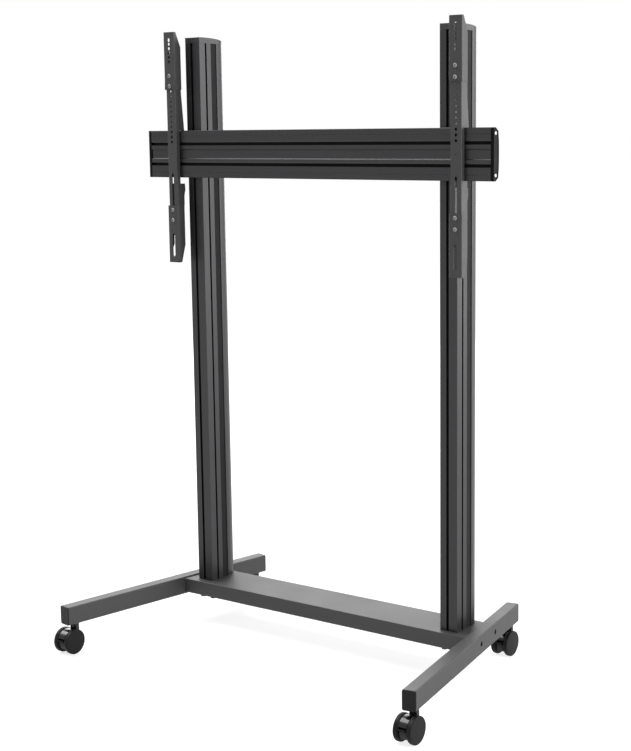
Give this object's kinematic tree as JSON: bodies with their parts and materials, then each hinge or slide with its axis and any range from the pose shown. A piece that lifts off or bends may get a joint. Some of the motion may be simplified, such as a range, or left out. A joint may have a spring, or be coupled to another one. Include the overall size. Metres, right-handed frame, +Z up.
{
  "type": "video conferencing cart",
  "caption": "wheeled stand with splayed legs, two slotted columns, a height-adjustable crossrail and hooked arms with bolt-on brackets for a large flat screen",
  "frame": {"origin": "middle of the footprint on the floor, under the whole part", "axes": "+X to the viewer's right, -Y towards the viewer (front, the side the screen hangs on), +Z up"},
  "size_m": [1.3672, 0.8465, 1.964],
  "materials": {
    "anodised": "dark grey anodised, satin",
    "leg_coat": "dark grey powder coat, satin",
    "arm_coat": "dark grey powder coat, matte",
    "dark_plastic": "black, moulded",
    "strip_plastic": "black, fine grain",
    "caster_gloss": "black, polished",
    "wheel_plastic": "black, satin",
    "bright_steel": "bright zinc plated",
    "dark_steel": "black oxide"
  },
  "bodies": {
    "base": {"crossbeam": "leg_coat", "left_leg": "leg_coat", "left_front_leg_cap": "dark_plastic", "left_rear_leg_cap": "dark_plastic", "left_front_leg_bolt": "dark_steel", "left_rear_leg_bolt": "dark_steel", "left_foot_plate": "dark_steel", "left_column": "anodised", "left_column_inner_strip": "strip_plastic", "left_column_outer_strip": "strip_plastic", "left_column_cap": "anodised", "left_front_stem": "dark_steel", "left_rear_stem": "dark_steel", "right_leg": "leg_coat", "right_front_leg_cap": "dark_plastic", "right_rear_leg_cap": "dark_plastic", "right_front_leg_bolt": "dark_steel", "right_rear_leg_bolt": "dark_steel", "right_foot_plate": "dark_steel", "right_column": "anodised", "right_column_inner_strip": "strip_plastic", "right_column_outer_strip": "strip_plastic", "right_column_cap": "anodised", "right_front_stem": "dark_steel", "right_rear_stem": "dark_steel"},
    "carriage": {"rail": "anodised", "left_rail_cap": "dark_plastic", "left_rail_clamp": "dark_steel", "right_rail_cap": "dark_plastic", "right_rail_clamp": "dark_steel"},
    "left_arm_set": {"left_arm": "arm_coat", "left_upper_bracket": "arm_coat", "left_upper_screw_1": "bright_steel", "left_upper_screw_2": "bright_steel"},
    "left_lower_bracket_set": {"left_lower_bracket": "arm_coat", "left_lower_screw_1": "bright_steel", "left_lower_screw_2": "bright_steel"},
    "right_arm_set": {"right_arm": "arm_coat", "right_upper_bracket": "arm_coat", "right_upper_screw_1": "bright_steel", "right_upper_screw_2": "bright_steel"},
    "right_lower_bracket_set": {"right_lower_bracket": "arm_coat", "right_lower_screw_1": "bright_steel", "right_lower_screw_2": "bright_steel"},
    "left_front_fork": {"left_front_fork": "caster_gloss"},
    "left_front_left_wheel": {"left_front_left_wheel": "wheel_plastic"},
    "left_front_right_wheel": {"left_front_right_wheel": "wheel_plastic"},
    "left_front_brake_pedal": {"left_front_brake_pedal": "wheel_plastic"},
    "left_rear_fork": {"left_rear_fork": "caster_gloss"},
    "left_rear_left_wheel": {"left_rear_left_wheel": "wheel_plastic"},
    "left_rear_right_wheel": {"left_rear_right_wheel": "wheel_plastic"},
    "left_rear_brake_pedal": {"left_rear_brake_pedal": "wheel_plastic"},
    "right_front_fork": {"right_front_fork": "caster_gloss"},
    "right_front_left_wheel": {"right_front_left_wheel": "wheel_plastic"},
    "right_front_right_wheel": {"right_front_right_wheel": "wheel_plastic"},
    "right_front_brake_pedal": {"right_front_brake_pedal": "wheel_plastic"},
    "right_rear_fork": {"right_rear_fork": "caster_gloss"},
    "right_rear_left_wheel": {"right_rear_left_wheel": "wheel_plastic"},
    "right_rear_right_wheel": {"right_rear_right_wheel": "wheel_plastic"},
    "right_rear_brake_pedal": {"right_rear_brake_pedal": "wheel_plastic"}
  },
  "joints": [
    {"name": "rail_height", "type": "slide", "parent": "base", "child": "carriage", "axis": [0, 0, 1], "range_m": [-0.9, 0.25]},
    {"name": "left_arm_slide", "type": "slide", "parent": "carriage", "child": "left_arm_set", "axis": [1, 0, 0], "range_m": [-0.085, 0.5]},
    {"name": "left_lower_bracket_slide", "type": "slide", "parent": "left_arm_set", "child": "left_lower_bracket_set", "axis": [0, 0, 1], "range_m": [-0.015, 0.085]},
    {"name": "right_arm_slide", "type": "slide", "parent": "carriage", "child": "right_arm_set", "axis": [1, 0, 0], "range_m": [-0.5, 0.085]},
    {"name": "right_lower_bracket_slide", "type": "slide", "parent": "right_arm_set", "child": "right_lower_bracket_set", "axis": [0, 0, 1], "range_m": [-0.015, 0.085]},
    {"name": "left_front_swivel", "type": "hinge", "parent": "base", "child": "left_front_fork", "pos_m": [-0.65399, -0.3581, 0.08], "axis": [0, 0, 1], "continuous": true},
    {"name": "left_front_left_wheel_spin", "type": "hinge", "parent": "left_front_fork", "child": "left_front_left_wheel", "pos_m": [-0.65399, -0.3831, 0.04], "axis": [1, 0, 0], "continuous": true},
    {"name": "left_front_right_wheel_spin", "type": "hinge", "parent": "left_front_fork", "child": "left_front_right_wheel", "pos_m": [-0.65399, -0.3831, 0.04], "axis": [1, 0, 0], "continuous": true},
    {"name": "left_front_brake", "type": "hinge", "parent": "left_front_fork", "child": "left_front_brake_pedal", "pos_m": [-0.65399, -0.4001, 0.047], "axis": [1, 0, 0], "range_deg": [0, 8]},
    {"name": "left_rear_swivel", "type": "hinge", "parent": "base", "child": "left_rear_fork", "pos_m": [-0.52258, 0.38721, 0.08], "axis": [0, 0, 1], "continuous": true},
    {"name": "left_rear_left_wheel_spin", "type": "hinge", "parent": "left_rear_fork", "child": "left_rear_left_wheel", "pos_m": [-0.52258, 0.3622, 0.04], "axis": [1, 0, 0], "continuous": true},
    {"name": "left_rear_right_wheel_spin", "type": "hinge", "parent": "left_rear_fork", "child": "left_rear_right_wheel", "pos_m": [-0.52258, 0.3622, 0.04], "axis": [1, 0, 0], "continuous": true},
    {"name": "left_rear_brake", "type": "hinge", "parent": "left_rear_fork", "child": "left_rear_brake_pedal", "pos_m": [-0.52258, 0.3452, 0.047], "axis": [1, 0, 0], "range_deg": [0, 8]},
    {"name": "right_front_swivel", "type": "hinge", "parent": "base", "child": "right_front_fork", "pos_m": [0.65399, -0.3581, 0.08], "axis": [0, 0, 1], "continuous": true},
    {"name": "right_front_left_wheel_spin", "type": "hinge", "parent": "right_front_fork", "child": "right_front_left_wheel", "pos_m": [0.65399, -0.3831, 0.04], "axis": [1, 0, 0], "continuous": true},
    {"name": "right_front_right_wheel_spin", "type": "hinge", "parent": "right_front_fork", "child": "right_front_right_wheel", "pos_m": [0.65399, -0.3831, 0.04], "axis": [1, 0, 0], "continuous": true},
    {"name": "right_front_brake", "type": "hinge", "parent": "right_front_fork", "child": "right_front_brake_pedal", "pos_m": [0.65399, -0.4001, 0.047], "axis": [1, 0, 0], "range_deg": [0, 8]},
    {"name": "right_rear_swivel", "type": "hinge", "parent": "base", "child": "right_rear_fork", "pos_m": [0.52258, 0.38721, 0.08], "axis": [0, 0, 1], "continuous": true},
    {"name": "right_rear_left_wheel_spin", "type": "hinge", "parent": "right_rear_fork", "child": "right_rear_left_wheel", "pos_m": [0.52258, 0.3622, 0.04], "axis": [1, 0, 0], "continuous": true},
    {"name": "right_rear_right_wheel_spin", "type": "hinge", "parent": "right_rear_fork", "child": "right_rear_right_wheel", "pos_m": [0.52258, 0.3622, 0.04], "axis": [1, 0, 0], "continuous": true},
    {"name": "right_rear_brake", "type": "hinge", "parent": "right_rear_fork", "child": "right_rear_brake_pedal", "pos_m": [0.52258, 0.3452, 0.047], "axis": [1, 0, 0], "range_deg": [0, 8]}
  ]
}
